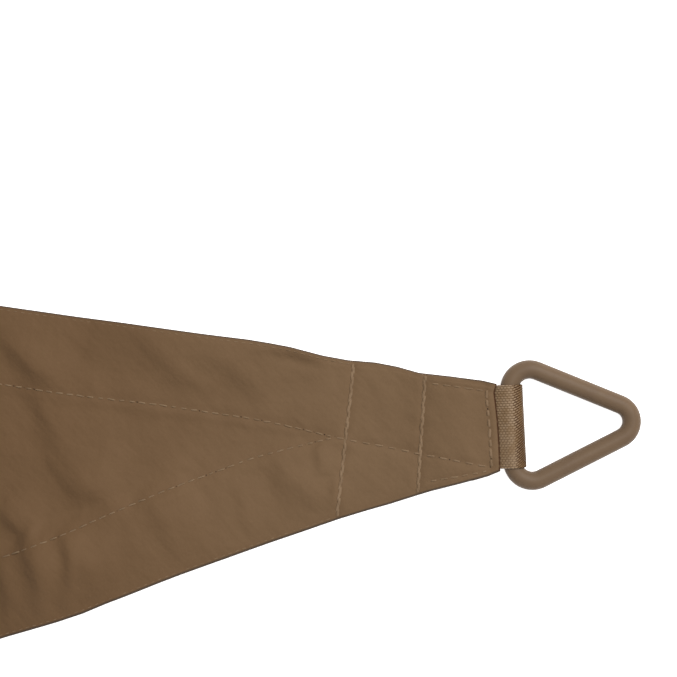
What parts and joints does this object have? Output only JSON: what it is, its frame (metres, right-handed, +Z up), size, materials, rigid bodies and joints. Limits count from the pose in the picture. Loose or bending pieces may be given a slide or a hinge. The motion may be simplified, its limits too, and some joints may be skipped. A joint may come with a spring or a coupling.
{
  "type": "shade sail",
  "caption": "Triangular cloth shade sail laid out flat, with hollow hemmed edges and a webbing loop holding a triangular metal ring at each corner.",
  "frame": {"origin": "middle of the overall length and width, on the surface that the sail lies on", "axes": "+X towards the front corner, +Y to the left of someone looking along +X, +Z up"},
  "size_m": [3.229, 3.7212, 0.0291],
  "materials": {
    "cloth": "matt, fine plain weave",
    "webbing": "ribbed narrow weave",
    "painted_ring": "satin powder coat"
  },
  "bodies": {
    "root": {"sail": "cloth", "webbing_loop_front": "webbing", "webbing_loop_left": "webbing", "webbing_loop_right": "webbing", "ring_front": "painted_ring", "ring_left": "painted_ring", "ring_right": "painted_ring"}
  },
  "joints": []
}
